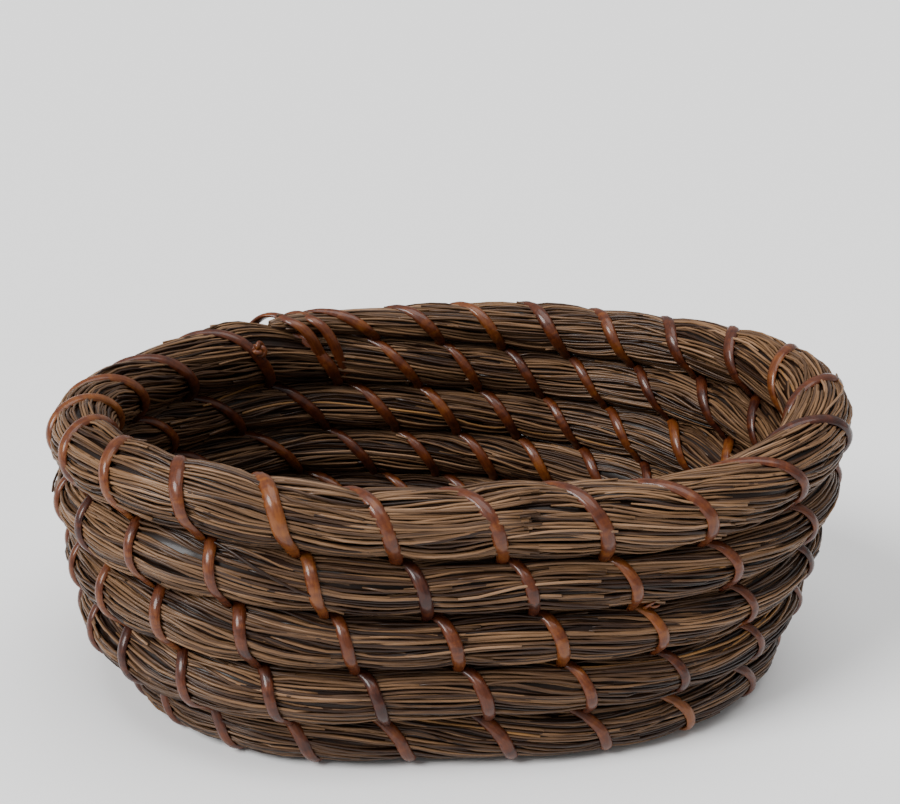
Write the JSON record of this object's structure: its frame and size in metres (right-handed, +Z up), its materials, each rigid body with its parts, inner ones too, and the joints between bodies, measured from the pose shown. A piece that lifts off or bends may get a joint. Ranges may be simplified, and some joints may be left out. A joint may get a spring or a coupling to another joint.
{
  "type": "coiled pine needle basket",
  "caption": "Open oval basket coiled from a bundle of long pine needles and sewn course to course with strands of split leaf.",
  "frame": {"origin": "middle of the outline, on the floor that the basket stands on", "axes": "+X along the oval's length, +Y towards the back wall, which leans out, +Z up"},
  "size_m": [0.2376, 0.1708, 0.0962],
  "materials": {
    "needles": "dry pine needles",
    "leaf_strand": "split leaf, slightly glossy"
  },
  "bodies": {
    "root": {"needle_coil": "needles", "strand_01": "leaf_strand", "strand_02": "leaf_strand", "strand_03": "leaf_strand", "strand_04": "leaf_strand", "strand_05": "leaf_strand", "strand_06": "leaf_strand", "strand_07": "leaf_strand", "strand_08": "leaf_strand", "strand_09": "leaf_strand", "strand_10": "leaf_strand", "strand_11": "leaf_strand", "strand_12": "leaf_strand"}
  },
  "joints": []
}
